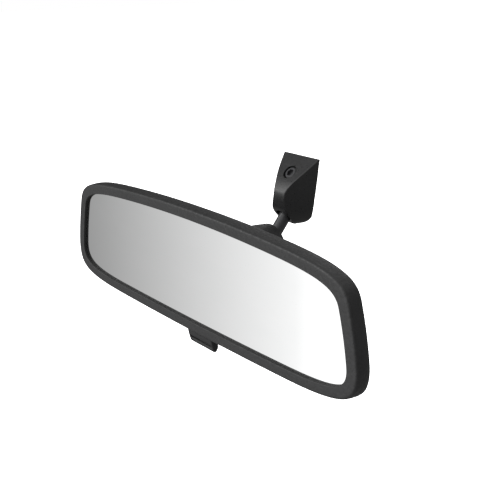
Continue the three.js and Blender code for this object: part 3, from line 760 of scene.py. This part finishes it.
def stem():
    """Rod with a chamfered shoulder and a spigot at each end."""
    top = BALL_SPACING - 3.1
    profile = [
        (0, -1.9), (2.2, -1.9), (2.2, 4), (3.2, 4), (3.5, 4.4),
        (3.5, top - 0.4), (3.2, top), (2.2, top), (2.2, top + 4.2), (0, top + 4.2),
    ]
    piece = turned("stem", profile, LOWER_BALL, STEM)
    return finish(piece, BLACK_STEEL, "stem", "black_steel", "stem_rod")


def cap_shell(name, inner, outer, rim, centre, axis, material, body, slot, node):
    """Thin cap round a ball, opening away from the axis's tip."""
    profile = arc(inner, 0, rim, 24) + arc(outer, rim, 0, 24)
    profile[0], profile[-1] = (0, inner), (0, outer)
    piece = turned(name, [profile[-1], *reversed(profile[:-1])], centre, axis)
    return finish(piece, material, body, slot, node)


def socket_ring():
    """Screwed ring with the spherical lip that keeps the lower ball in."""
    profile = arc(5.6, 90, 62, 10)
    profile += [(5.9, 3.8), (6.4, 3.8), (7.3, 2.9), (7.6, 2.5), (7.6, 0)]
    piece = turned("ring", profile, LOWER_BALL, STEM)
    return finish(piece, ZINC, "carrier", "plated_steel", "socket_ring")


def washer():
    """Coned spring washer behind the upper ball's seat."""
    profile = [(3.2, 5.45), (3.2, 5.9), (5.6, 4.6), (5.6, 4.1)]
    piece = turned("washer", profile, UPPER_BALL, BACKWARDS)
    return finish(piece, SPRING, "mount", "spring_steel", "upper_spring_washer")


def back_plate():
    """Round plate that closes the upper socket, its rim chamfered and its middle dished."""
    profile = [
        (0, 6.3), (6.4, 6.3), (6.4, 6.75), (6.25, 6.9), (4.6, 6.9), (4.2, 6.75), (0, 6.75),
    ]
    piece = turned("closing_plate", profile, UPPER_BALL, BACKWARDS)
    return finish(piece, ZINC, "mount", "plated_steel", "socket_back_plate")


# ---------------------------------------------------------------- windscreen mount
# Levels of the wedge: height, front depth, front half width, back depth, back half width
MOUNT_LEVELS = [
    (15.5, 69.8, 2.6, 73, 3.3), (15.75, 68.8, 3.8, 74.6, 4.9), (16.5, 67.6, 5, 75.9, 6.5),
    (17.8, 66.2, 5.8, 76.9, 7.9), (19.6, 64.6, 6.2, 77.5, 9), (22.2, 62.4, 6.4, 77.5, 9.8),
    (24.8, 60.8, 6, 77.5, 10.4), (27, 60.2, 5.4, 77.5, 10.85), (29.5, 60.1, 4.9, 77.5, 11.2),
    (32, 60.3, 4.65, 77.5, 11.7),
    (34, 60.65, 4.7, 77.5, 12.1), (35.5, 61.15, 5, 77.5, 12.35), (37, 61.95, 5.5, 77.5, 12.6),
    (39, 63.3, 6.4, 77.5, 12.9), (41, 64.9, 7.6, 77.5, 13.25), (44, 67.7, 9.6, 77.5, 13.75),
    (48, 71.75, 12, 77.5, 14.3), (52.3, 76.15, 14.1, 77.5, 14.95), (53, 76.85, 13.7, 77.5, 14.5),
]
SCREW_TILT = math.radians(44)
SCREW_IN = Vector((0, math.cos(SCREW_TILT), -math.sin(SCREW_TILT)))
SCREW_FACE = Vector(place((0, 68.6, 44.87)))


def pocket_ring(spread, depth):
    """The button pocket's outline at a depth, spread outwards at its chamfer."""
    half = POCKET["half_width"] + spread
    bottom, top = POCKET["bottom"] - spread, POCKET["top"] + spread
    corners = [(-half, bottom), (half, bottom), (half, top), (-half, top)]
    return np.array([(x, depth, height) for x, height in corners])


def round_cutter(name, radius, start, end, centre, axis):
    """A cylinder from start to end along an axis through centre."""
    return turned(name, [(0, start), (radius, start), (radius, end), (0, end)], centre, axis)


def mount():
    """Wedge-shaped casting: tapered flanks, a rounded nose and a slope up to the screen."""
    rings = []
    for height, front, front_half, back, back_half in through(MOUNT_LEVELS, 6):
        back = min(back, MOUNT_FACE)
        corners = [(front_half, front), (back_half, back), (-back_half, back), (-front_half, front)]
        outline = eased(corners, min(0.7, (back - front) / 3), 5)
        rings.append(np.column_stack([outline, np.full(len(outline), height)]))
    piece = loft("mount", rings)
    outside = MOUNT_FACE + 3
    pocket = loft("pocket", [
        pocket_ring(0, MOUNT_FACE - POCKET["depth"]),
        pocket_ring(0, MOUNT_FACE - POCKET["chamfer"]),
        pocket_ring(POCKET["chamfer"], MOUNT_FACE),
        pocket_ring(POCKET["chamfer"], outside),
    ])
    depth = MOUNT_FACE - unplace(UPPER_BALL)[1]
    seat = turned("seat", [(0, -4.9), *arc(4.9, 179, 1, 40), (0, 4.9)], UPPER_BALL, BACKWARDS)
    bore = round_cutter("bore", 6.3, 0, depth + 3, UPPER_BALL, BACKWARDS)
    recess = round_cutter("recess", 6.5, depth - 0.8, depth + 3, UPPER_BALL, BACKWARDS)
    widening = math.tan(MOUTH_ANGLE)
    start, end = BALL_SPACING - MOUTH_FAR, BALL_SPACING - MOUTH_NEAR
    cone = [
        (0, start), (MOUTH_RADIUS + MOUTH_FAR * widening, start),
        (MOUTH_RADIUS + MOUTH_NEAR * widening, end), (0, end),
    ]
    mouth = turned("mouth", cone, LOWER_BALL, STEM)
    hole = [(0, -4), (4.4, -4), (4.3, 0.1), (4.3, 2.2), (2.65, 2.2), (2.65, 9), (0, 9)]
    screw_hole = turned("screw_hole", hole, SCREW_FACE, SCREW_IN)
    combine(piece, [pocket, seat, bore, recess, mouth, screw_hole], "DIFFERENCE")
    return finish(piece, CASTING, "mount", "black_casting", "mount_bracket")


def set_screw():
    """Hexagon-socket set screw with a chamfered rim."""
    profile = [
        (0, 0.3), (3.05, 0.3), (3.4, 0.6), (3.4, 2), (2.5, 2.1), (2.5, 4), (2.35, 4.15), (0, 4.15),
    ]
    piece = turned("set_screw", profile, SCREW_FACE, SCREW_IN)
    socket = [(0, -0.4), (2.6, -0.1), (2.2, 0.5), (2.2, 2.1), (0, 2.3)]
    key = turned("key", socket, SCREW_FACE, SCREW_IN, 6)
    combine(piece, [key], "DIFFERENCE")
    return finish(piece, BLACK_STEEL, "mount", "black_steel", "mount_set_screw")


def repaint(node, material):
    """Gives a CAD node that is shown as it is one of the scene's materials."""
    for material_slot in frame["nodes"][node].material_slots:
        material_slot.material = material


tilt = unplace(TILT_PIVOT)[1:]
flip = unplace(LEVER_PIVOT)[1:]
bezel()
glass()
backing_film()
rear_case()
day_night_lever()
pin("lever_shaft", (-14.2, *flip), (14.2, *flip), 1.25, "lever_pin")
for label, side in (("left", -1), ("right", 1)):
    foam_pad(label, side)
    ends = sorted((side * 21.6, side * 30.4))
    pin(f"tilt_{label}", (ends[0], *tilt), (ends[1], *tilt), 1.5, f"tilt_pin_{label}")
mount()
set_screw()
washer()
back_plate()
stem()
ball("ball_low", LOWER_BALL_RADIUS, 41.6, 3.9, -2, LOWER_BALL, STEM, "lower_ball")
ball("ball_high", UPPER_BALL_RADIUS, 49.5, 3, -1.2, UPPER_BALL, -STEM, "upper_ball")
socket_ring()
cap_shell(
    "liner_high", 4.9, 5.35, 60, UPPER_BALL, BACKWARDS,
    ACETAL, "upper_liner", "acetal", "upper_ball_liner",
)
cap_shell(
    "cup_high", 5.45, 6, 60, UPPER_BALL, BACKWARDS,
    SPRING, "upper_cup", "spring_steel", "upper_seat_cup",
)
cap_shell(
    "liner_low", 5.58, 5.95, 66, LOWER_BALL, -STEM,
    ACETAL, "lower_liner", "acetal", "lower_ball_liner",
)
cap_shell(
    "cup_low", 6.05, 6.5, 70, LOWER_BALL, -STEM,
    SPRING, "lower_cup", "spring_steel", "lower_seat_cup",
)
for node in ("socket_housing", "carrier_plate"):
    repaint(node, NYLON)
for node in ("carrier_rivet_left", "carrier_rivet_right"):
    repaint(node, ZINC)
for node in ("lower_ball_spring", "toggle_spring"):
    repaint(node, SPRING)


# ---------------------------------------------------------------- stage and light
def hidden_from(piece, *rays):
    """Keeps a piece out of the given kinds of ray."""
    for ray in rays:
        setattr(piece, f"visible_{ray}", False)


def floor_material():
    """Pale seamless paper, lit from within so that it reads as the white of the studio."""
    material, tree, shader = new_material("studio_paper", (0.95, 0.95, 0.95), 0.9)
    fibres = noise(tree, 6, 4)
    tint = blended(tree, fibres, (0.93, 0.93, 0.93), (0.97, 0.97, 0.97))
    tree.links.new(tint, shader.inputs["Base Color"])
    tree.links.new(ranged(tree, fibres, 0.85, 0.95), shader.inputs["Roughness"])
    bumped(tree, shader, [(fibres, 0.1, 0.2)])
    shader.inputs["Emission Color"].default_value = (1, 1, 1, 1)
    shader.inputs["Emission Strength"].default_value = 1.5
    return material


def studio_floor():
    """A wide floor, well below the mirror, because the mirror hangs."""
    half, low = 15, cad_low.z - 0.6
    mesh = bpy.data.meshes.new("studio_floor")
    corners = [(-half, -half, low), (half, -half, low), (half, half, low), (-half, half, low)]
    mesh.from_pydata(corners, [], [(0, 1, 2, 3)])
    floor = bpy.data.objects.new("studio_floor", mesh)
    bpy.context.scene.collection.objects.link(floor)
    mesh.materials.append(floor_material())
    hidden_from(floor, "glossy", "diffuse", "shadow", "transmission")


# Brightness of the studio by azimuth, from straight in front of the mirror (0) round
# towards its left-hand end (90) and the back (180); the right-hand side is negative. The
# bright front ends in an edge at 49 degrees and falls off evenly from there.
STUDIO = [
    (-180, 0.5), (-150, 0.35), (-110, 0.2), (-60, 0.3), (-35, 0.7), (-5, 1.8), (38, 1.9),
    (48.6, 1.1), (49.2, 1.0), (63, 0.33), (72, 0.1), (112, 0.03), (124, 0.1), (138, 0.8),
    (160, 0.9), (180, 0.6),
]
RAMP_TOP = 2.0


def studio_world():
    """White to the camera; a soft wrap of bright and dark sides to everything else."""
    world = bpy.data.worlds.new("studio")
    bpy.context.scene.world = world
    world.use_nodes = True
    tree = world.node_tree
    tree.nodes.clear()

    def maths(operation, first, second=None):
        node = tree.nodes.new("ShaderNodeMath")
        node.operation = operation
        for socket, value in zip(node.inputs, (first, second)):
            if isinstance(value, (int, float)):
                socket.default_value = value
            elif value is not None:
                tree.links.new(value, socket)
        return node.outputs[0]

    direction = tree.nodes.new("ShaderNodeTexCoord").outputs["Generated"]
    split = tree.nodes.new("ShaderNodeSeparateXYZ")
    tree.links.new(direction, split.inputs[0])
    x, y, z = split.outputs
    azimuth = maths("ARCTAN2", maths("MULTIPLY", x, -1), maths("MULTIPLY", y, -1))
    around = maths("ADD", maths("DIVIDE", azimuth, 2 * math.pi), 0.5)
    side = tree.nodes.new("ShaderNodeValToRGB")
    tree.links.new(around, side.inputs[0])
    stops = side.color_ramp.elements
    for stop, (angle, level) in zip((stops[0], stops[1]), (STUDIO[0], STUDIO[-1])):
        stop.position, stop.color = angle / 360 + 0.5, (level / RAMP_TOP,) * 3 + (1,)
    for angle, level in STUDIO[1:-1]:
        stops.new(angle / 360 + 0.5).color = (level / RAMP_TOP,) * 3 + (1,)
    wall = maths("MULTIPLY", side.outputs[0], RAMP_TOP)
    above = ranged(tree, z, 0, 1, 0.6, 0.9)
    overhead = tree.nodes.new("ShaderNodeMix")
    tree.links.new(above, overhead.inputs[0])
    tree.links.new(wall, overhead.inputs[2])
    overhead.inputs[3].default_value = 0.9
    below = ranged(tree, z, 1, 0, -0.62, -0.44)
    level = tree.nodes.new("ShaderNodeMix")
    tree.links.new(below, level.inputs[0])
    tree.links.new(overhead.outputs[0], level.inputs[2])
    level.inputs[3].default_value = 0.3
    seen = tree.nodes.new("ShaderNodeLightPath").outputs["Is Camera Ray"]
    shown = tree.nodes.new("ShaderNodeMix")
    tree.links.new(seen, shown.inputs[0])
    tree.links.new(level.outputs[0], shown.inputs[2])
    shown.inputs[3].default_value = 1.0
    background = tree.nodes.new("ShaderNodeBackground")
    background.inputs["Color"].default_value = (1, 1, 1, 1)
    tree.links.new(shown.outputs[0], background.inputs["Strength"])
    output = tree.nodes.new("ShaderNodeOutputWorld")
    tree.links.new(background.outputs[0], output.inputs["Surface"])


def key_light():
    """Large soft box in front of the mirror, towards its left-hand end and above it."""
    light = bpy.data.lights.new("key", "AREA")
    light.shape = "RECTANGLE"
    light.size, light.size_y = 1.5, 1.41
    light.energy = 31.0
    lamp = bpy.data.objects.new("key", light)
    bpy.context.scene.collection.objects.link(lamp)
    azimuth, elevation, away = math.radians(42), math.radians(25), 3.0
    level = math.cos(elevation)
    out = Vector((-math.sin(azimuth) * level, -math.cos(azimuth) * level, math.sin(elevation)))
    lamp.location = Vector(place((0, 40, 20))) + out * away
    lamp.rotation_euler = out.to_track_quat("Z", "Y").to_euler()


def camera():
    """The photograph's view: from the right, above the glass."""
    azimuth, elevation, roll = math.radians(52.242), math.radians(17.772), math.radians(-0.692)
    level = math.cos(elevation)
    back = Vector((math.sin(azimuth) * level, -math.cos(azimuth) * level, math.sin(elevation)))
    across = Vector((0, 0, 1)).cross(back).normalized()
    upright = back.cross(across)
    right = across * math.cos(roll) + upright * math.sin(roll)
    up = upright * math.cos(roll) - across * math.sin(roll)
    lens = bpy.data.cameras.new("photo_view")
    lens.lens, lens.sensor_width = 64.8, 36
    lens.clip_start, lens.clip_end = 0.01, 100
    eye = bpy.data.objects.new("photo_view", lens)
    bpy.context.scene.collection.objects.link(eye)
    turn = Matrix((right, up, back)).transposed().to_4x4()
    eye.matrix_world = Matrix.Translation(Vector(place((371.0, -247.23, 155.88)))) @ turn
    bpy.context.scene.camera = eye


studio_floor()
studio_world()
key_light()
camera()
bpy.context.scene.view_settings.view_transform = "Standard"
